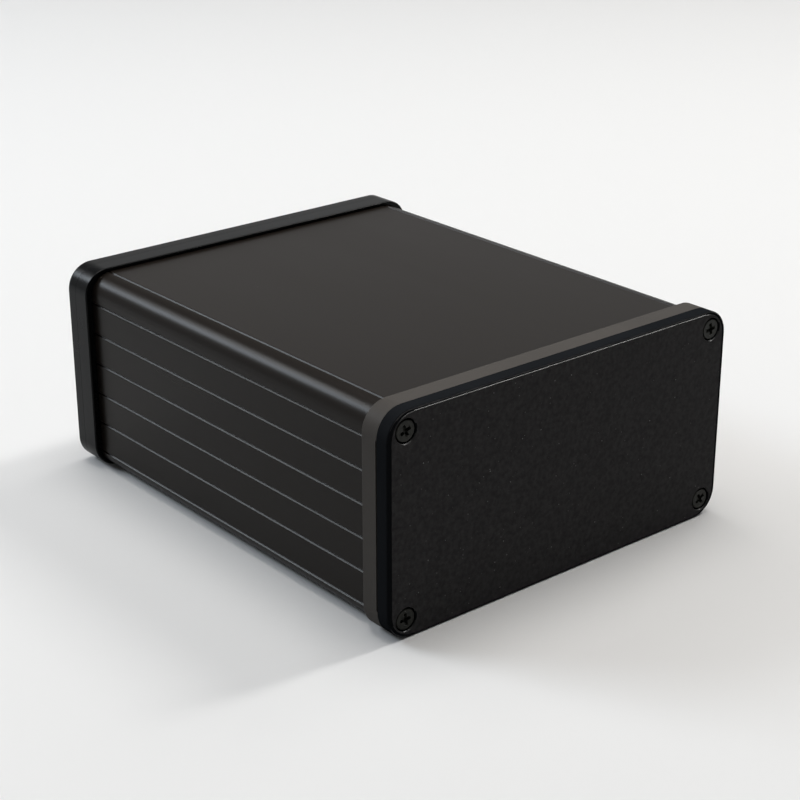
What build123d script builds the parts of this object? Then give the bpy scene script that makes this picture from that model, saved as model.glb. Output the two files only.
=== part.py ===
from build123d import *
import math
import os

os.makedirs("parts", exist_ok=True)

# Extruded aluminium enclosure with moulded end bezels and screwed end panels.
# X runs across the width, Y along the extrusion with the front end at -Y, and Z up.
# The origin is on the surface that the enclosure stands on, below its middle.

# Body extrusion, in millimetres
extrusion_length = 116.4
extrusion_width = 99.2
extrusion_height = 51.0
extrusion_corner = 5.5  # radius of the two upper corners
extrusion_lower_corner = 4.0
side_wall = 1.8
top_wall = 1.8
inner_corner = 1.0

# Decorative V grooves along both sides, and two that bound the label field on the top
groove_count = 6
groove_pitch = 8.0
groove_width = 0.7
groove_depth = 0.45
groove_shift = -1.7  # middle of the side grooves, from the middle of the height
field_margin = 5.3  # top grooves, from the sides of the extrusion

# Card guides inside
guide_count = 5
guide_pitch = 8.0
card_slot = 1.8
guide_rib = 1.0
guide_reach = 2.0

# Screw channels in the four corners
screw_from_side = 3.1  # channel axis, from the side of the extrusion
screw_from_top = 3.6  # channel axis, from the top and the bottom
channel_bore = 2.9
channel_wall = 0.9
channel_gap = 1.3

# Belly plate and the slots it slides in
plate_thickness = 1.5
plate_side_clearance = 0.25
plate_top_clearance = 0.15
plate_end_clearance = 0.2
plate_from_side = 6.2  # end of the slot, from the side of the extrusion
plate_overlap = 2.3  # width of the lips under and over the plate
plate_edge = 0.3
lip_thickness = 1.1
rib_thickness = 1.0

# Moulded bezel around each end
bezel_side_proud = 1.9  # beyond the side of the extrusion
bezel_top_proud = 1.0  # beyond the top and the bottom of the extrusion
bezel_corner = 6.5
bezel_depth = 5.0
bezel_edge = 0.4  # chamfer of the edge that meets the extrusion
flange_thickness = 1.2
flange_cover = 1.6  # how far the flange reaches inwards over the extrusion's end, clear of the screws
sleeve_clearance = 0.15

# Moulded end panel
panel_thickness = 3.6
panel_edge = 0.9  # radius around the face
screw_hole = 3.3
hidden_sides = 12  # of the holes and shanks, which the screw heads cover
head_pocket = 5.6
pocket_depth = 1.3

# Cross-recess screws
head_diameter = 4.95
head_height = 1.1
shank_diameter = 2.75
shank_length = 12.0
recess_span = 2.8
recess_arm = 0.62
recess_depth = 0.8
# Each screw has stopped at its own angle, in degrees
screw_turns = {
    ("front", "upper_left"): 24.0,
    ("front", "upper_right"): 8.0,
    ("front", "lower_left"): 6.0,
    ("front", "lower_right"): 33.0,
    ("rear", "upper_left"): 15.0,
    ("rear", "upper_right"): 40.0,
    ("rear", "lower_left"): 71.0,
    ("rear", "lower_right"): 28.0,
}

# Sizes that follow
outer_width = extrusion_width + 2 * bezel_side_proud
outer_height = extrusion_height + 2 * bezel_top_proud
mid_height = outer_height / 2
half_width = extrusion_width / 2
half_height = extrusion_height / 2
half_length = extrusion_length / 2
bore_width = extrusion_width - 2 * side_wall
screw_x = half_width - screw_from_side
screw_z = half_height - screw_from_top
channel_radius = channel_bore / 2 + channel_wall
fill_width = screw_from_side - side_wall
fill_height = screw_from_top - top_wall
lip_top = -half_height + lip_thickness
plate_top = lip_top + plate_thickness
rib_bottom = plate_top + plate_top_clearance
rib_top = rib_bottom + rib_thickness
slot_half = half_width - plate_from_side
mouth_half = slot_half - plate_overlap
plate_width = 2 * (slot_half - plate_side_clearance)
plate_length = extrusion_length - 2 * plate_end_clearance
panel_back = half_length + flange_thickness
panel_front = panel_back + panel_thickness
sleeve_depth = bezel_depth - flange_thickness
pocket_floor = panel_front - pocket_depth
screw_spots = {
    "upper_left": (-screw_x, screw_z),
    "upper_right": (screw_x, screw_z),
    "lower_left": (-screw_x, -screw_z),
    "lower_right": (screw_x, -screw_z),
}


def section(y):
    """Plane across the extrusion at y, seen from the front, its origin at mid height."""
    return Plane(origin=(0, y, mid_height), x_dir=(1, 0, 0), z_dir=(0, -1, 0))


def end_plane(side, reach):
    """Plane across one end, reach from the middle, facing away from the enclosure."""
    return Plane(origin=(0, side * reach, mid_height), x_dir=(-side, 0, 0), z_dir=(0, side, 0))


def extrusion_outline(clearance):
    """Section of the extrusion's outside, grown by a clearance."""
    with BuildSketch() as outline:
        Rectangle(extrusion_width + 2 * clearance, extrusion_height + 2 * clearance)
        fillet(outline.vertices().group_by(Axis.Y)[-1], radius=extrusion_corner + clearance)
        fillet(outline.vertices().group_by(Axis.Y)[0], radius=extrusion_lower_corner + clearance)
    return outline.sketch


def write(builder, name):
    builder.part.label = name
    export_step(builder.part, f"parts/{name}.step")


# Body extrusion: one profile with its guides, channels, slots and grooves
with BuildPart() as body_extrusion:
    with BuildSketch(section(half_length)):
        add(extrusion_outline(0))
        cavity_height = half_height - top_wall - rib_top
        with Locations((0, rib_top + cavity_height / 2)):
            RectangleRounded(bore_width, cavity_height, inner_corner, mode=Mode.SUBTRACT)
        with Locations((0, -half_height)):
            mouth_height = 2 * (rib_top + half_height + inner_corner)
            Rectangle(2 * mouth_half, mouth_height, mode=Mode.SUBTRACT)
        with Locations((0, (lip_top + rib_bottom) / 2)):
            Rectangle(2 * slot_half, rib_bottom - lip_top, mode=Mode.SUBTRACT)
        # Card guides: two ribs to a slot, on both side walls
        for level in range(guide_count):
            slot_z = (level - (guide_count - 1) / 2) * guide_pitch
            for offset_z in (-(card_slot + guide_rib) / 2, (card_slot + guide_rib) / 2):
                for side in (-1, 1):
                    with Locations((side * (bore_width - guide_reach) / 2, slot_z + offset_z)):
                        Rectangle(guide_reach, guide_rib)
        # Screw channels, each a thick ring with a gap towards the inside
        for spot_x, spot_z in screw_spots.values():
            outward_x = math.copysign(1, spot_x)
            outward_z = math.copysign(1, spot_z)
            with Locations((spot_x, spot_z)):
                Circle(channel_radius)
            # The metal between the ring and the corner of the cavity
            with Locations((spot_x + outward_x * fill_width / 2, spot_z + outward_z * fill_height / 2)):
                Rectangle(fill_width, fill_height)
        for spot_x, spot_z in screw_spots.values():
            with Locations((spot_x, spot_z)):
                Circle(channel_bore / 2, mode=Mode.SUBTRACT)
            gap_turn = math.degrees(math.atan2(-math.copysign(1, spot_z), -math.copysign(1, spot_x)))
            with Locations(Location((spot_x, spot_z, 0), (0, 0, gap_turn))):
                with Locations((channel_radius / 2, 0)):
                    Rectangle(channel_radius, channel_gap, mode=Mode.SUBTRACT)
        # V grooves on both sides
        for level in range(groove_count):
            groove_z = (level - (groove_count - 1) / 2) * groove_pitch + groove_shift
            for side in (-1, 1):
                with BuildLine():
                    Polyline(
                        (side * half_width, groove_z + groove_width / 2),
                        (side * (half_width - groove_depth), groove_z),
                        (side * half_width, groove_z - groove_width / 2),
                        close=True,
                    )
                make_face(mode=Mode.SUBTRACT)
        # V grooves in the top
        for side in (-1, 1):
            groove_x = side * (half_width - field_margin)
            with BuildLine():
                Polyline(
                    (groove_x - groove_width / 2, half_height),
                    (groove_x, half_height - groove_depth),
                    (groove_x + groove_width / 2, half_height),
                    close=True,
                )
            make_face(mode=Mode.SUBTRACT)
    extrude(amount=extrusion_length)
write(body_extrusion, "body_extrusion")

# Belly plate: lies on the lower lips and slides out when an end is off
with BuildPart() as belly_plate:
    with BuildSketch(section(plate_length / 2)):
        with Locations((0, (lip_top + plate_top) / 2)):
            Rectangle(plate_width, plate_thickness)
    extrude(amount=plate_length)
    chamfer(belly_plate.edges().filter_by(Axis.Y), length=plate_edge)
write(belly_plate, "belly_plate")

for end, side in (("front", -1), ("rear", 1)):
    # Bezel: a sleeve over the extrusion's end, with a flange that the panel rests on
    with BuildPart() as bezel:
        with BuildSketch(end_plane(side, panel_back)):
            RectangleRounded(outer_width, outer_height, bezel_corner)
        extrude(amount=-bezel_depth)
        chamfer(bezel.faces().sort_by(Axis.Y)[0 if side > 0 else -1].edges(), length=bezel_edge)
        with BuildSketch(end_plane(side, panel_back - bezel_depth)):
            add(extrusion_outline(sleeve_clearance))
        extrude(amount=sleeve_depth, mode=Mode.SUBTRACT)
        with BuildSketch(end_plane(side, half_length)):
            Rectangle(extrusion_width - 2 * flange_cover, extrusion_height - 2 * flange_cover)
        extrude(amount=flange_thickness, mode=Mode.SUBTRACT)
    write(bezel, f"{end}_bezel")

    # End panel: rounded around its face, with pockets for the screw heads
    with BuildPart() as panel:
        with BuildSketch(end_plane(side, panel_back)):
            RectangleRounded(outer_width, outer_height, bezel_corner)
        extrude(amount=panel_thickness)
        front_face = panel.faces().sort_by(Axis.Y)[-1 if side > 0 else 0]
        fillet(front_face.edges(), radius=panel_edge)
        with BuildSketch(end_plane(side, panel_front)):
            with Locations(*screw_spots.values()):
                Circle(head_pocket / 2)
        extrude(amount=-pocket_depth, mode=Mode.SUBTRACT)
        with BuildSketch(end_plane(side, panel_back)):
            with Locations(*screw_spots.values()):
                RegularPolygon(screw_hole / 2, hidden_sides)
        extrude(amount=panel_thickness, mode=Mode.SUBTRACT)
    write(panel, f"{end}_end_panel")

    # Screws: heads in the pockets, shanks in the channels, a cross cut into each head
    for spot_name, spot in screw_spots.items():
        with BuildPart() as screw:
            with BuildSketch(end_plane(side, pocket_floor)):
                with Locations(spot):
                    Circle(head_diameter / 2)
            extrude(amount=head_height)
            with BuildSketch(end_plane(side, pocket_floor)):
                with Locations(spot):
                    RegularPolygon(shank_diameter / 2, hidden_sides)
            extrude(amount=-shank_length)
            with BuildSketch(end_plane(side, pocket_floor + head_height)):
                with Locations(Location((spot[0], spot[1], 0), (0, 0, screw_turns[(end, spot_name)]))):
                    Rectangle(recess_span, recess_arm)
                    Rectangle(recess_arm, recess_span)
            extrude(amount=-recess_depth, mode=Mode.SUBTRACT)
        write(screw, f"{end}_screw_{spot_name}")
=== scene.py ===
import math

import bpy
from mathutils import Matrix, Vector


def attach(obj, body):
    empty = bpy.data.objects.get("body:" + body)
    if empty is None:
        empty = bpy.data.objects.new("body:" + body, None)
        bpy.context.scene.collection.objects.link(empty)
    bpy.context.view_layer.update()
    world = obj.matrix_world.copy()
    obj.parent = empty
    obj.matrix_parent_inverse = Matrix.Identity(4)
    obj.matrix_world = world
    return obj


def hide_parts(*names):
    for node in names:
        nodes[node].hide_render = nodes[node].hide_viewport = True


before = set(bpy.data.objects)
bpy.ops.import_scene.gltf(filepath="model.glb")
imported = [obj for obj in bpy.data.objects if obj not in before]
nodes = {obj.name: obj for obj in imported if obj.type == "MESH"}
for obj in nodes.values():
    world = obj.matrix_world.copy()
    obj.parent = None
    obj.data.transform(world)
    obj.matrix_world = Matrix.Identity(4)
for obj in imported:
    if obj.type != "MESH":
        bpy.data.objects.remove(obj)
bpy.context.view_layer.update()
mm = 0.001
midHeight = 26.5


# Modelling helpers. Sizes and places are in millimetres

def clearSelection():
    if bpy.context.object and bpy.context.object.mode != "OBJECT":
        bpy.ops.object.mode_set(mode="OBJECT")
    bpy.ops.object.select_all(action="DESELECT")


def activate(piece):
    clearSelection()
    bpy.context.view_layer.objects.active = piece
    piece.select_set(True)


def applyPlace(piece):
    activate(piece)
    bpy.ops.object.transform_apply(location=True, rotation=True, scale=True)


# A block between two corners
def addBlock(name, low, high):
    clearSelection()
    middle = [(a + b) / 2 * mm for a, b in zip(low, high)]
    size = [(b - a) * mm for a, b in zip(low, high)]
    bpy.ops.mesh.primitive_cube_add(size=1, location=middle, scale=size)
    piece = bpy.context.active_object
    piece.name = name
    applyPlace(piece)
    return piece


# A disc that faces the front, ready to be extruded into a turned form
def addDisc(name, place, radius, sides):
    clearSelection()
    bpy.ops.mesh.primitive_circle_add(
        vertices=sides, radius=radius * mm, fill_type="NGON",
        location=[value * mm for value in place], rotation=(math.pi / 2, 0, 0),
    )
    piece = bpy.context.active_object
    piece.name = name
    applyPlace(piece)
    return piece


# Extrudes the chosen faces by steps of (travel along Y, new radius over old radius)
def turnSteps(piece, steps, centre):
    activate(piece)
    bpy.ops.object.mode_set(mode="EDIT")
    bpy.ops.mesh.select_all(action="SELECT")
    for travel, ratio in steps:
        bpy.ops.mesh.extrude_region_move(TRANSFORM_OT_translate={"value": (0, travel * mm, 0)})
        if ratio != 1:
            bpy.ops.transform.resize(
                value=(ratio, 1, ratio), center_override=[value * mm for value in centre],
            )
    bpy.ops.mesh.select_all(action="SELECT")
    bpy.ops.mesh.normals_make_consistent(inside=False)
    bpy.ops.object.mode_set(mode="OBJECT")


# Leaves the piece in edit mode with its wanted edges chosen, by their two ends
def chooseEdges(piece, wanted):
    activate(piece)
    bpy.context.tool_settings.mesh_select_mode = (False, True, False)
    bpy.ops.object.mode_set(mode="EDIT")
    bpy.ops.mesh.select_all(action="DESELECT")
    bpy.ops.object.mode_set(mode="OBJECT")
    for edge in piece.data.edges:
        first, second = (piece.data.vertices[i].co / mm for i in edge.vertices)
        edge.select = wanted(first, second)
    bpy.ops.object.mode_set(mode="EDIT")


# Leaves the piece in edit mode with its wanted faces chosen, by centre and normal
def chooseFaces(piece, wanted):
    activate(piece)
    bpy.context.tool_settings.mesh_select_mode = (False, False, True)
    bpy.ops.object.mode_set(mode="EDIT")
    bpy.ops.mesh.select_all(action="DESELECT")
    bpy.ops.object.mode_set(mode="OBJECT")
    for face in piece.data.polygons:
        face.select = wanted(face.center / mm, face.normal)
    bpy.ops.object.mode_set(mode="EDIT")


def bevelChosen(width, segments):
    bpy.ops.mesh.bevel(offset=width * mm, segments=segments, profile=0.5, affect="EDGES")
    bpy.ops.object.mode_set(mode="OBJECT")


def alongY(a, b):
    return abs(a.x - b.x) < 0.01 and abs(a.z - b.z) < 0.01 and abs(a.y - b.y) > 0.5


def cutAway(piece, cutter):
    activate(piece)
    cut = piece.modifiers.new("cut", "BOOLEAN")
    cut.operation = "DIFFERENCE"
    cut.solver = "EXACT"
    cut.object = cutter
    bpy.ops.object.modifier_apply(modifier=cut.name)
    bpy.data.objects.remove(cutter)


def softenEdges(piece, width, segments, angle):
    activate(piece)
    soften = piece.modifiers.new("soften", "BEVEL")
    soften.width = width * mm
    soften.segments = segments
    soften.limit_method = "ANGLE"
    soften.angle_limit = math.radians(angle)
    soften.use_clamp_overlap = True
    bpy.ops.object.modifier_apply(modifier=soften.name)


def finishShading(piece, angle=30):
    activate(piece)
    bpy.ops.object.shade_smooth_by_angle(angle=math.radians(angle))
    weighted = piece.modifiers.new("weighted", "WEIGHTED_NORMAL")
    weighted.keep_sharp = True
    bpy.ops.object.modifier_apply(modifier=weighted.name)


# A copy with its own mesh, turned about an axis through the centre and moved
def copyPiece(piece, name, turn=0.0, axis="Z", centre=(0, 0, 0), shift=(0, 0, 0)):
    copied = piece.copy()
    copied.data = piece.data.copy()
    copied.name = name
    bpy.context.scene.collection.objects.link(copied)
    pivot = Matrix.Translation(Vector(centre) * mm)
    turned = pivot @ Matrix.Rotation(math.radians(turn), 4, axis) @ pivot.inverted()
    copied.matrix_world = Matrix.Translation(Vector(shift) * mm) @ turned
    applyPlace(copied)
    return copied


# A copy of a CAD node, its loose triangles merged and its flat faces made whole
def mergedCopy(nodeName, name):
    clearSelection()
    piece = nodes[nodeName].copy()
    piece.data = nodes[nodeName].data.copy()
    piece.name = name
    piece.parent = None
    for key in list(piece.keys()):
        del piece[key]
    bpy.context.scene.collection.objects.link(piece)
    activate(piece)
    bpy.ops.mesh.customdata_custom_splitnormals_clear()
    bpy.ops.object.mode_set(mode="EDIT")
    bpy.ops.mesh.select_all(action="SELECT")
    bpy.ops.mesh.remove_doubles(threshold=0.001 * mm)
    bpy.ops.mesh.dissolve_limited(angle_limit=math.radians(0.5))
    bpy.ops.object.mode_set(mode="OBJECT")
    return piece


def standFor(piece, nodeName, finish=None):
    if finish:
        piece.data.materials.clear()
        piece.data.materials.append(finish)
    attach(piece, "root")
    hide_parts(nodeName)


# Shared effects

def newGroup(name, inputs, outputs):
    group = bpy.data.node_groups.new(name, "ShaderNodeTree")
    for label, kind, value in inputs:
        socket = group.interface.new_socket(label, in_out="INPUT", socket_type=kind)
        if value is not None:
            socket.default_value = value
    for label in outputs:
        group.interface.new_socket(label, in_out="OUTPUT", socket_type="NodeSocketFloat")
    return group, group.nodes.new("NodeGroupInput"), group.nodes.new("NodeGroupOutput")


def mathNode(tree, operation, first, second=None, clamp=False):
    node = tree.nodes.new("ShaderNodeMath")
    node.operation = operation
    node.use_clamp = clamp
    for index, value in enumerate((first, second)):
        if value is None:
            continue
        if hasattr(value, "is_output"):
            tree.links.new(value, node.inputs[index])
        else:
            node.inputs[index].default_value = value
    return node.outputs["Value"]


def rangeNode(tree, value, fromLow, fromHigh, toLow=0.0, toHigh=1.0):
    node = tree.nodes.new("ShaderNodeMapRange")
    tree.links.new(value, node.inputs["Value"])
    for label, number in zip(("From Min", "From Max", "To Min", "To Max"), (fromLow, fromHigh, toLow, toHigh)):
        if hasattr(number, "is_output"):
            tree.links.new(number, node.inputs[label])
        else:
            node.inputs[label].default_value = number
    return node.outputs["Result"]


# Fine grain: a height for the bump and a slow change of tone
def makeGrain():
    group, given, result = newGroup(
        "fineGrain",
        (("Vector", "NodeSocketVector", None), ("Scale", "NodeSocketFloat", 900.0), ("Cloud Scale", "NodeSocketFloat", 30.0)),
        ("Height", "Tone"),
    )
    fine = group.nodes.new("ShaderNodeTexNoise")
    fine.inputs["Detail"].default_value = 2.0
    slow = group.nodes.new("ShaderNodeTexNoise")
    slow.inputs["Detail"].default_value = 4.0
    for node, label in ((fine, "Scale"), (slow, "Cloud Scale")):
        group.links.new(given.outputs["Vector"], node.inputs["Vector"])
        group.links.new(given.outputs[label], node.inputs["Scale"])
    group.links.new(fine.outputs["Fac"], result.inputs["Height"])
    group.links.new(rangeNode(group, slow.outputs["Fac"], 0.3, 0.7), result.inputs["Tone"])
    return group


# Dust: sparse specks of uneven size
def makeDust():
    group, given, result = newGroup(
        "dustSpecks",
        (("Vector", "NodeSocketVector", None), ("Scale", "NodeSocketFloat", 400.0),
         ("Size", "NodeSocketFloat", 0.2), ("Share", "NodeSocketFloat", 0.2)),
        ("Mask",),
    )
    cells = group.nodes.new("ShaderNodeTexVoronoi")
    group.links.new(given.outputs["Vector"], cells.inputs["Vector"])
    group.links.new(given.outputs["Scale"], cells.inputs["Scale"])
    parts = group.nodes.new("ShaderNodeSeparateColor")
    group.links.new(cells.outputs["Color"], parts.inputs["Color"])
    chosen = mathNode(group, "LESS_THAN", parts.outputs["Red"], given.outputs["Share"])
    reach = mathNode(group, "MULTIPLY", parts.outputs["Green"], given.outputs["Size"])
    near = mathNode(group, "LESS_THAN", cells.outputs["Distance"], reach)
    strength = mathNode(group, "POWER", parts.outputs["Blue"], 2.0)
    speck = mathNode(group, "MULTIPLY", chosen, near)
    group.links.new(mathNode(group, "MULTIPLY", speck, strength), result.inputs["Mask"])
    return group


# Rubbed edges and painted highlight: a mask from how far a rounded normal leans away from the real one, which lightens
# edges partly as wear and partly as a painted highlight
def makeEdgeWearAndHighlight():
    group, given, result = newGroup(
        "edgeWearAndHighlight",
        (("Radius", "NodeSocketFloat", 0.0004), ("Contrast", "NodeSocketFloat", 6.0)),
        ("Mask",),
    )
    rounded = group.nodes.new("ShaderNodeBevel")
    rounded.samples = 4
    group.links.new(given.outputs["Radius"], rounded.inputs["Radius"])
    plain = group.nodes.new("ShaderNodeNewGeometry")
    lean = group.nodes.new("ShaderNodeVectorMath")
    lean.operation = "DOT_PRODUCT"
    group.links.new(rounded.outputs["Normal"], lean.inputs[0])
    group.links.new(plain.outputs["Normal"], lean.inputs[1])
    away = mathNode(group, "SUBTRACT", 1.0, lean.outputs["Value"])
    group.links.new(mathNode(group, "MULTIPLY", away, given.outputs["Contrast"], clamp=True), result.inputs["Mask"])
    return group


grainGroup = makeGrain()
dustGroup = makeDust()
wearAndHighlightGroup = makeEdgeWearAndHighlight()


# One finish: base colour that varies with tone, grain bump, dust, and edges lightened partly by wear and partly as a
# painted highlight
def makeFinish(name, look):
    material = bpy.data.materials.new(name)
    material.use_nodes = True
    tree = material.node_tree
    shader = tree.nodes["Principled BSDF"]
    shader.inputs["Metallic"].default_value = look["metallic"]
    place = tree.nodes.new("ShaderNodeTexCoord")
    stretch = tree.nodes.new("ShaderNodeMapping")
    stretch.inputs["Scale"].default_value = look["stretch"]
    tree.links.new(place.outputs["Object"], stretch.inputs["Vector"])

    grain = tree.nodes.new("ShaderNodeGroup")
    grain.node_tree = grainGroup
    grain.inputs["Scale"].default_value = look["grainScale"]
    grain.inputs["Cloud Scale"].default_value = look["cloudScale"]
    tree.links.new(stretch.outputs["Vector"], grain.inputs["Vector"])

    tone = tree.nodes.new("ShaderNodeMix")
    tone.data_type = "RGBA"
    tone.inputs["A"].default_value = (*look["darker"], 1)
    tone.inputs["B"].default_value = (*look["lighter"], 1)
    both = mathNode(tree, "ADD", grain.outputs["Tone"], mathNode(tree, "SUBTRACT", grain.outputs["Height"], 0.5))
    tree.links.new(both, tone.inputs["Factor"])

    wearAndHighlight = tree.nodes.new("ShaderNodeGroup")
    wearAndHighlight.node_tree = wearAndHighlightGroup
    wearAndHighlight.inputs["Radius"].default_value = look["wearAndHighlightRadius"] * mm
    wearAndHighlight.inputs["Contrast"].default_value = look["wearAndHighlightContrast"]
    # Edges take a lighter colour, partly wear and partly a painted highlight
    rubbedAndHighlit = tree.nodes.new("ShaderNodeMix")
    rubbedAndHighlit.data_type = "RGBA"
    rubbedAndHighlit.inputs["B"].default_value = (*look["rubbedAndHighlit"], 1)
    tree.links.new(wearAndHighlight.outputs["Mask"], rubbedAndHighlit.inputs["Factor"])
    tree.links.new(tone.outputs["Result"], rubbedAndHighlit.inputs["A"])

    gloss = rangeNode(tree, wearAndHighlight.outputs["Mask"], 0.0, 1.0, look["specular"], look["edgeSpecular"])
    tree.links.new(gloss, shader.inputs["Specular IOR Level"])

    dust = tree.nodes.new("ShaderNodeGroup")
    dust.node_tree = dustGroup
    dust.inputs["Scale"].default_value = look["dustScale"]
    dust.inputs["Size"].default_value = look["dustSize"]
    # Dust lies thickest towards one side
    across = tree.nodes.new("ShaderNodeSeparateXYZ")
    tree.links.new(place.outputs["Object"], across.inputs["Vector"])
    share = rangeNode(tree, across.outputs["X"], -0.05, 0.05, look["dustShare"], look["dustShare"] * 0.3)
    tree.links.new(share, dust.inputs["Share"])
    tree.links.new(place.outputs["Object"], dust.inputs["Vector"])
    dusted = tree.nodes.new("ShaderNodeMix")
    dusted.data_type = "RGBA"
    dusted.inputs["B"].default_value = (0.42, 0.42, 0.41, 1)
    tree.links.new(dust.outputs["Mask"], dusted.inputs["Factor"])
    tree.links.new(rubbedAndHighlit.outputs["Result"], dusted.inputs["A"])
    tree.links.new(dusted.outputs["Result"], shader.inputs["Base Color"])

    rough = rangeNode(tree, grain.outputs["Tone"], 0.0, 1.0, look["roughLow"], look["roughHigh"])
    tree.links.new(rough, shader.inputs["Roughness"])
    bump = tree.nodes.new("ShaderNodeBump")
    bump.inputs["Strength"].default_value = look["bump"]
    bump.inputs["Distance"].default_value = look["bumpDepth"] * mm
    tree.links.new(grain.outputs["Height"], bump.inputs["Height"])
    tree.links.new(bump.outputs["Normal"], shader.inputs["Normal"])
    return material


# Extrusion and belly plate: the high rubbed colour and contrast make the groove lips read as bright lines, partly edge
# wear and partly a painted highlight
anodisedLook = {
    "metallic": 0.0, "specular": 0.13, "edgeSpecular": 0.55, "stretch": (1, 0.12, 1), "grainScale": 2400, "cloudScale": 45,
    "darker": (0.0112, 0.0086, 0.0068), "lighter": (0.0140, 0.0110, 0.0090), "rubbedAndHighlit": (0.10, 0.09, 0.085),
    "wearAndHighlightRadius": 0.18, "wearAndHighlightContrast": 3.5, "dustScale": 700, "dustSize": 0.1, "dustShare": 0.03,
    "roughLow": 0.27, "roughHigh": 0.32, "bump": 0.3, "bumpDepth": 0.012,
}
bezelLook = {
    "metallic": 0.0, "specular": 0.06, "edgeSpecular": 0.2, "stretch": (1, 1, 1), "grainScale": 2600, "cloudScale": 60,
    "darker": (0.070, 0.064, 0.059), "lighter": (0.080, 0.073, 0.067), "rubbedAndHighlit": (0.10, 0.095, 0.088),
    "wearAndHighlightRadius": 0.3, "wearAndHighlightContrast": 1.2, "dustScale": 700, "dustSize": 0.1, "dustShare": 0.03,
    "roughLow": 0.45, "roughHigh": 0.55, "bump": 0.6, "bumpDepth": 0.03,
}
rimLook = {
    "metallic": 0.0, "specular": 0.0, "edgeSpecular": 0.0, "stretch": (1, 1, 1), "grainScale": 2600, "cloudScale": 60,
    "darker": (0.0112, 0.0123, 0.0140), "lighter": (0.0142, 0.0154, 0.0175), "rubbedAndHighlit": (0.02, 0.02, 0.02),
    "wearAndHighlightRadius": 0.2, "wearAndHighlightContrast": 0.5, "dustScale": 900, "dustSize": 0.12, "dustShare": 0.03,
    "roughLow": 0.36, "roughHigh": 0.42, "bump": 0.2, "bumpDepth": 0.008,
}
# The rear bezel and the rear panel's rim are the same plastics as the front ones; this darker, glossier copy stands in
# for how light falls on the rear end, painted shade with a stronger sheen
rearShadedLook = {
    "metallic": 0.0, "specular": 0.12, "edgeSpecular": 0.35, "stretch": (1, 1, 1), "grainScale": 2600, "cloudScale": 60,
    "darker": (0.0030, 0.0034, 0.0038), "lighter": (0.0044, 0.0048, 0.0052), "rubbedAndHighlit": (0.05, 0.05, 0.05),
    "wearAndHighlightRadius": 0.2, "wearAndHighlightContrast": 1.0, "dustScale": 900, "dustSize": 0.12, "dustShare": 0.03,
    "roughLow": 0.22, "roughHigh": 0.28, "bump": 0.3, "bumpDepth": 0.012,
}
faceLook = {
    "metallic": 0.0, "specular": 0.06, "edgeSpecular": 0.06, "stretch": (1, 1, 1), "grainScale": 1500, "cloudScale": 900,
    "darker": (0.037, 0.0355, 0.0365), "lighter": (0.066, 0.063, 0.0645), "rubbedAndHighlit": (0.04, 0.04, 0.04),
    "wearAndHighlightRadius": 0.1, "wearAndHighlightContrast": 0.5, "dustScale": 1600, "dustSize": 0.3, "dustShare": 0.45,
    "roughLow": 0.42, "roughHigh": 0.52, "bump": 0.7, "bumpDepth": 0.03,
}
# Top and bottom slopes around the face and the pockets' mouths: the rim's plastic made paler as a painted highlight,
# and glossier
edgeHighlightLook = {
    "metallic": 0.0, "specular": 0.36, "edgeSpecular": 0.36, "stretch": (1, 1, 1), "grainScale": 2600, "cloudScale": 500,
    "darker": (0.02, 0.02, 0.021), "lighter": (0.05, 0.05, 0.05), "rubbedAndHighlit": (0.05, 0.05, 0.05),
    "wearAndHighlightRadius": 0.1, "wearAndHighlightContrast": 0.5, "dustScale": 1500, "dustSize": 0.2, "dustShare": 0.05,
    "roughLow": 0.30, "roughHigh": 0.40, "bump": 0.3, "bumpDepth": 0.01,
}
screwLook = {
    "metallic": 0.2, "specular": 0.35, "edgeSpecular": 0.7, "stretch": (1, 1, 1), "grainScale": 2000, "cloudScale": 900,
    "darker": (0.010, 0.012, 0.009), "lighter": (0.030, 0.030, 0.024), "rubbedAndHighlit": (0.12, 0.12, 0.11),
    "wearAndHighlightRadius": 0.12, "wearAndHighlightContrast": 2.0, "dustScale": 1800, "dustSize": 0.2, "dustShare": 0.06,
    "roughLow": 0.34, "roughHigh": 0.46, "bump": 0.5, "bumpDepth": 0.02,
}
anodised = makeFinish("anodisedAluminium", anodisedLook)
bezelPlastic = makeFinish("bezelPlastic", bezelLook)
rimPlastic = makeFinish("rimPlastic", rimLook)
rearShadedPlastic = makeFinish("rearShadedPlastic", rearShadedLook)
faceTexture = makeFinish("faceTexture", faceLook)
paintedHighlightGloss = makeFinish("paintedHighlightGloss", edgeHighlightLook)
blackenedSteel = makeFinish("blackenedSteel", screwLook)
print("finishes done")


# Body extrusion, with the sharp lips of its grooves and channels softened
extrusionPlan = {
    "halfWidth": 49.6, "top": 52.0, "grooveLip": 0.14, "lip": 0.09, "segments": 2, "angle": 28,
}


def onGrooveLip(a, b):
    if not alongY(a, b):
        return False
    onSide = abs(abs(a.x) - extrusionPlan["halfWidth"]) < 0.01 and 3 < a.z < 47
    onTop = abs(a.z - extrusionPlan["top"]) < 0.01 and 43 < abs(a.x) < 45.5
    return onSide or onTop


grooveBody = mergedCopy("body_extrusion", "groovedBody")
chooseEdges(grooveBody, onGrooveLip)
bevelChosen(extrusionPlan["grooveLip"], 3)
softenEdges(grooveBody, extrusionPlan["lip"], extrusionPlan["segments"], extrusionPlan["angle"])
finishShading(grooveBody)
standFor(grooveBody, "body_extrusion", anodised)
print("body done")


# Belly plate
platePlan = {"edge": 0.08, "segments": 2}
bellyPlate = mergedCopy("belly_plate", "bellyPlate")
softenEdges(bellyPlate, platePlan["edge"], platePlan["segments"], 20)
finishShading(bellyPlate)
standFor(bellyPlate, "belly_plate", anodised)
print("plate done")


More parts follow.
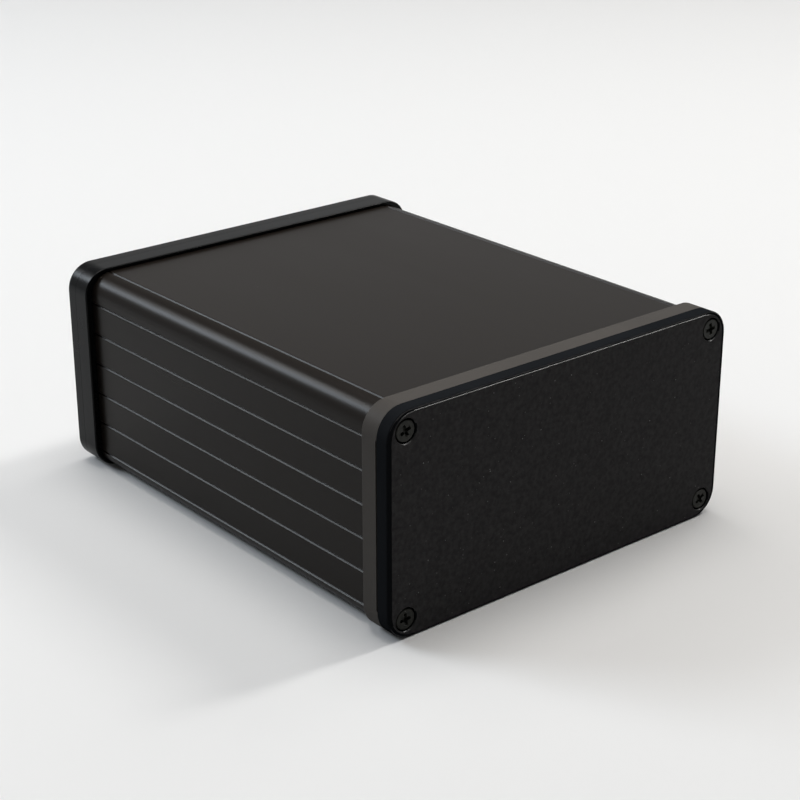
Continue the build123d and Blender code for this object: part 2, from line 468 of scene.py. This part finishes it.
# Bezel: a block rounded all round, its sleeve and flange cut out
bezelPlan = {
    "halfWidth": 51.5, "front": -59.4, "back": -54.4, "corner": 6.5, "cornerSegments": 16,
    "backEdge": 0.4, "sleeveFrom": -58.2, "sleeveHalfWidth": 49.75, "sleeveHalfHeight": 25.65,
    "sleeveUpper": 5.65, "sleeveLower": 4.15, "openingHalfWidth": 48.0, "openingHalfHeight": 23.9,
    "gapWidth": 0.36, "gapInset": 0.6, "partingFrom": 6.6,
}


def buildBezel(plan):
    bezel = addBlock(
        "bezelFront",
        (-plan["halfWidth"], plan["front"], 0),
        (plan["halfWidth"], plan["back"], 2 * midHeight),
    )
    chooseEdges(bezel, alongY)
    bevelChosen(plan["corner"], plan["cornerSegments"])
    chooseFaces(bezel, lambda centre, normal: normal.y > 0.9)
    bpy.ops.mesh.region_to_loop()
    bevelChosen(plan["backEdge"], 4)

    sleeve = addBlock(
        "sleeveCutter",
        (-plan["sleeveHalfWidth"], plan["sleeveFrom"], midHeight - plan["sleeveHalfHeight"]),
        (plan["sleeveHalfWidth"], plan["back"] + 1, midHeight + plan["sleeveHalfHeight"]),
    )
    chooseEdges(sleeve, lambda a, b: alongY(a, b) and a.z > midHeight)
    bevelChosen(plan["sleeveUpper"], 14)
    chooseEdges(sleeve, lambda a, b: alongY(a, b) and a.z < midHeight)
    bevelChosen(plan["sleeveLower"], 12)
    cutAway(bezel, sleeve)
    opening = addBlock(
        "openingCutter",
        (-plan["openingHalfWidth"], plan["front"] - 1, midHeight - plan["openingHalfHeight"]),
        (plan["openingHalfWidth"], plan["sleeveFrom"] + 1, midHeight + plan["openingHalfHeight"]),
    )
    cutAway(bezel, opening)
    softenEdges(bezel, 0.06, 2, 50)
    finishShading(bezel)
    return bezel


# The front panel has settled a hair away at the sides, which leaves a black line there
def cutParting(bezel, plan):
    outside = plan["halfWidth"]
    for side in (-1, 1):
        first, second = sorted((side * (outside - plan["gapInset"]), side * (outside + 1)))
        cutAway(bezel, addBlock(
            "partingCutter",
            (first, plan["front"] - 0.4, plan["partingFrom"]),
            (second, plan["front"] + plan["gapWidth"], 2 * midHeight - plan["partingFrom"]),
        ))
    finishShading(bezel)


frontBezel = buildBezel(bezelPlan)
rearBezel = copyPiece(frontBezel, "bezelRear", turn=180)
cutParting(frontBezel, bezelPlan)
standFor(frontBezel, "front_bezel", bezelPlastic)
standFor(rearBezel, "rear_bezel", rearShadedPlastic)
print("bezels done")


# End panel: a rounded plate with four stepped pockets for the screws
screwPlaces = {
    "upper_left": (-46.5, midHeight + 21.9),
    "upper_right": (46.5, midHeight + 21.9),
    "lower_left": (-46.5, midHeight - 21.9),
    "lower_right": (46.5, midHeight - 21.9),
}
panelPlan = {
    "halfWidth": 51.5, "front": -63.0, "back": -59.4, "corner": 6.5, "cornerSegments": 16,
    "faceEdge": 0.45, "rim": 0.2, "sideRim": 0.36, "faceSegments": 6, "backEdge": 0.12, "rise": 0.14, "bead": 0.09,
    "hole": 1.65, "pocket": 2.8, "pocketDepth": 1.3, "mouthWidth": 0.16, "mouthDepth": 0.25,
}


def buildPanel(plan):
    panel = addBlock(
        "panelFront",
        (-plan["halfWidth"], plan["front"] + plan["rise"], 0),
        (plan["halfWidth"], plan["back"], 2 * midHeight),
    )
    chooseEdges(panel, alongY)
    bevelChosen(plan["corner"], plan["cornerSegments"])
    chooseFaces(panel, lambda centre, normal: normal.y < -0.9)
    bpy.ops.mesh.region_to_loop()
    bevelChosen(plan["faceEdge"], plan["faceSegments"])
    # The textured face stands a hair proud of the smooth rim
    chooseFaces(panel, lambda centre, normal: normal.y < -0.99 and abs(centre.x) < 1)
    bpy.ops.mesh.inset(thickness=plan["rim"] * mm)
    # The rim is wider at the sides than along the top and the bottom
    bpy.ops.transform.resize(value=(1 - plan["sideRim"] / (plan["halfWidth"] - plan["faceEdge"]), 1, 1))
    bpy.ops.mesh.inset(thickness=plan["bead"] * mm)
    bpy.ops.transform.translate(value=(0, -plan["rise"] * mm, 0))
    chooseFaces(panel, lambda centre, normal: normal.y > 0.9)
    bpy.ops.mesh.region_to_loop()
    bevelChosen(plan["backEdge"], 2)

    # The pocket's form is turned once, from the back of the panel to its face, and copied
    first = screwPlaces["upper_left"]
    centre = (first[0], plan["back"] + 1, first[1])
    pocket = addDisc("pocketCutter", centre, plan["hole"], 48)
    floorY = plan["front"] + plan["pocketDepth"]
    mouthY = plan["front"] + plan["mouthDepth"]
    turnSteps(pocket, [
        (floorY - centre[1], 1),
        (0, plan["pocket"] / plan["hole"]),
        (mouthY - floorY, 1),
        (-plan["mouthDepth"], 1 + plan["mouthWidth"] / plan["pocket"]),
        (-1, 1),
    ], centre)
    for spot, (x, z) in screwPlaces.items():
        if spot != "upper_left":
            cutAway(panel, copyPiece(pocket, "pocketCopy", shift=(x - first[0], 0, z - first[1])))
    cutAway(panel, pocket)
    finishShading(panel)
    panel.data.materials.clear()
    for finish in (rimPlastic, faceTexture, paintedHighlightGloss):
        panel.data.materials.append(finish)
    # The face takes the textured finish; slopes facing up or down take the paler finish, a painted highlight
    for face in panel.data.polygons:
        depth = face.center.y / mm - plan["front"]
        if depth < 0.01 and face.normal.y < -0.99:
            face.material_index = 1
        elif depth < plan["mouthDepth"] and -0.99 < face.normal.y < -0.1 and abs(face.normal.z) > 0.3:
            face.material_index = 2
    return panel


frontPanel = buildPanel(panelPlan)
rearPanel = copyPiece(frontPanel, "panelRear", turn=180)
# The rear panel's rim takes the darker rear copy, painted shade
rearPanel.data.materials[0] = rearShadedPlastic
standFor(frontPanel, "front_end_panel")
standFor(rearPanel, "rear_end_panel")
print("panels done")


# Screw: flat head with a softened rim and a tapered cross, and a plain shank
screwPlan = {
    "headRadius": 2.475, "headHeight": 1.1, "rim": 0.24, "shankRadius": 1.375, "shankLength": 12.0,
    "seat": -61.7, "span": 3.3, "arm": 1.0, "recess": 0.85, "taper": 0.62,
}
screwTurns = {
    ("front", "upper_left"): 24.0, ("front", "upper_right"): 8.0,
    ("front", "lower_left"): 6.0, ("front", "lower_right"): 33.0,
    ("rear", "upper_left"): 15.0, ("rear", "upper_right"): 40.0,
    ("rear", "lower_left"): 71.0, ("rear", "lower_right"): 28.0,
}


def buildScrew(plan):
    centre = (0, plan["seat"] + plan["shankLength"], 0)
    screw = addDisc("crossScrew", centre, plan["shankRadius"] * 0.45, 48)
    turnSteps(screw, (
        (-1.0, 1 / 0.45),
        (1.0 - plan["shankLength"], 1),
        (0, plan["headRadius"] / plan["shankRadius"]),
        (-plan["headHeight"], 1),
    ), centre)
    top = plan["seat"] - plan["headHeight"]
    chooseEdges(screw, lambda a, b: max(abs(a.y - top), abs(b.y - top)) < 0.01)
    bevelChosen(plan["rim"], 3)
    for turn in (0, 90):
        arm = addBlock(
            "crossCutter",
            (-plan["span"] / 2, top - 0.3, -plan["arm"] / 2),
            (plan["span"] / 2, top + plan["recess"], plan["arm"] / 2),
        )
        chooseFaces(arm, lambda centre, normal: normal.y > 0.9)
        bpy.ops.transform.resize(value=(plan["taper"], 1, 0.6), center_override=(0, (top + plan["recess"]) * mm, 0))
        bpy.ops.object.mode_set(mode="OBJECT")
        cutAway(screw, copyPiece(arm, "crossCopy", turn=turn, axis="Y"))
        bpy.data.objects.remove(arm)
    finishShading(screw, 35)
    return screw


screwModel = buildScrew(screwPlan)
for (end, spot), turn in screwTurns.items():
    x, z = screwPlaces[spot]
    placed = copyPiece(screwModel, f"screw_{end}_{spot}", turn=-turn, axis="Y", shift=(x, 0, z))
    if end == "rear":
        placed.matrix_world = Matrix.Rotation(math.pi, 4, "Z")
        applyPlace(placed)
    standFor(placed, f"{end}_screw_{spot}", blackenedSteel)
bpy.data.objects.remove(screwModel)
print("screws done")


# Camera, as solved from the straight edges
viewFit = {
    "azimuth": -39.774, "elevation": 22.524, "roll": -0.09, "lens": 1887.675 * 36 / 800,
    "across": 37.033, "down": -15.187, "away": 421.763, "aimedAt": (0.0, -63.0, 26.5),
}


def setCamera(fit):
    azimuth, elevation, roll = (math.radians(fit[key]) for key in ("azimuth", "elevation", "roll"))
    forward = Vector((
        -math.sin(azimuth) * math.cos(elevation),
        math.cos(azimuth) * math.cos(elevation),
        -math.sin(elevation),
    ))
    level = Vector((math.cos(azimuth), math.sin(azimuth), 0))
    raised = level.cross(forward)
    right = math.cos(roll) * level + math.sin(roll) * raised
    up = math.cos(roll) * raised - math.sin(roll) * level
    place = Vector(fit["aimedAt"]) - fit["across"] * right - fit["down"] * up - fit["away"] * forward
    data = bpy.data.cameras.new("photoCamera")
    data.lens = fit["lens"]
    data.sensor_width = 36
    data.clip_start = 0.01
    data.clip_end = 50
    camera = bpy.data.objects.new("photoCamera", data)
    bpy.context.scene.collection.objects.link(camera)
    turned = Matrix((right, up, -forward)).transposed().to_4x4()
    camera.matrix_world = Matrix.Translation(place * mm) @ turned
    bpy.context.scene.camera = camera


setCamera(viewFit)
bpy.context.scene.view_settings.view_transform = "Standard"
print("camera done")


# Studio: a window behind on the left, a soft box above, and a pale table
def softLight(name, place, aim, size, watts, color, roll=0.0):
    data = bpy.data.lights.new(name, "AREA")
    data.shape = "RECTANGLE"
    data.size, data.size_y = size
    data.energy = watts
    data.color = color
    light = bpy.data.objects.new(name, data)
    bpy.context.scene.collection.objects.link(light)
    light.location = place
    aimed = (Vector(aim) - Vector(place)).to_track_quat("-Z", "Y").to_matrix()
    light.rotation_euler = (aimed @ Matrix.Rotation(math.radians(roll), 3, "Z")).to_euler()


softLight("windowLight", (-0.71, 1.05, 0.83), (0, -0.05, 0.05), (0.62, 0.32), 8.0, (0.84, 0.92, 1), 35)
softLight("ceilingLight", (0.05, 0.10, 1.4), (0, 0, 0.03), (0.9, 0.9), 10.8, (1, 0.98, 0.95))
softLight("rearLight", (0.20, 1.00, 1.5), (0, 0, 0.03), (0.6, 0.4), 1.6, (1, 0.98, 0.95))
softLight("upperWindowLight", (-0.46, 1.04, 0.99), (0, -0.05, 0.05), (0.3, 0.24), 2.3, (1, 1, 1), 35)
softLight("rightLight", (0.95, 0.10, 0.9), (0, 0, 0.03), (0.5, 0.5), 2.0, (1, 0.98, 0.95))
softLight("stripLight", (0.785, -0.14, 0.95), (0, 0, 0.05), (0.36, 0.12), 4.2, (1, 0.99, 0.97), 90)

clearSelection()
bpy.ops.mesh.primitive_plane_add(size=8, location=(0, 0, 0))
table = bpy.context.active_object
table.name = "paleTable"


def makeTableFinish():
    material = bpy.data.materials.new("paleTable")
    material.use_nodes = True
    tree = material.node_tree
    shader = tree.nodes["Principled BSDF"]
    shader.inputs["Roughness"].default_value = 0.7
    path = tree.nodes.new("ShaderNodeLightPath")
    color = tree.nodes.new("ShaderNodeCombineColor")
    # Painted shade: the table is 0.32 to bounce light and 0.55 in reflections, darker than the 0.8 the camera sees, so
    # the box's sides and their reflections of the table come out darker
    bounce = rangeNode(tree, path.outputs["Is Glossy Ray"], 0, 1, 0.32, 0.55)
    place = tree.nodes.new("ShaderNodeTexCoord")
    reach = tree.nodes.new("ShaderNodeVectorMath")
    reach.operation = "LENGTH"
    tree.links.new(place.outputs["Object"], reach.inputs[0])
    # Far away the table fades into the white backdrop
    near = rangeNode(tree, reach.outputs["Value"], 1.0, 2.1, 1.0, 0.0)
    pale = mathNode(tree, "MULTIPLY", rangeNode(tree, path.outputs["Is Camera Ray"], 0, 1, bounce, 0.8), near)
    for label in ("Red", "Green", "Blue"):
        tree.links.new(pale, color.inputs[label])
    tree.links.new(color.outputs["Color"], shader.inputs["Base Color"])
    far = mathNode(tree, "SUBTRACT", 1.0, near)
    tree.links.new(mathNode(tree, "MULTIPLY", far, path.outputs["Is Camera Ray"]), shader.inputs["Emission Strength"])
    shader.inputs["Emission Color"].default_value = (1, 1, 1, 1)
    return material


table.data.materials.append(makeTableFinish())

# The room: pale near the horizon and darker above, white where the camera looks past the table
def makeRoom():
    world = bpy.data.worlds.new("studioRoom")
    bpy.context.scene.world = world
    world.use_nodes = True
    tree = world.node_tree
    backdrop = tree.nodes["Background"]
    place = tree.nodes.new("ShaderNodeTexCoord")
    axes = tree.nodes.new("ShaderNodeSeparateXYZ")
    tree.links.new(place.outputs["Generated"], axes.inputs["Vector"])
    # A pale wall glows low at the back, and the rest of the room is dark
    upper = rangeNode(tree, axes.outputs["Z"], 0.42, 0.55, 1.0, 0.0)
    behind = rangeNode(tree, axes.outputs["Y"], 0.2, 0.45)
    fade = rangeNode(tree, mathNode(tree, "MULTIPLY", upper, behind), 0.0, 1.0, 0.045, 0.46)
    path = tree.nodes.new("ShaderNodeLightPath")
    strength = tree.nodes.new("ShaderNodeMix")
    tree.links.new(path.outputs["Is Camera Ray"], strength.inputs["Factor"])
    tree.links.new(fade, strength.inputs["A"])
    strength.inputs["B"].default_value = 1.0
    tree.links.new(strength.outputs["Result"], backdrop.inputs["Strength"])
    backdrop.inputs["Color"].default_value = (1, 1, 1, 1)


makeRoom()
print("studio done")
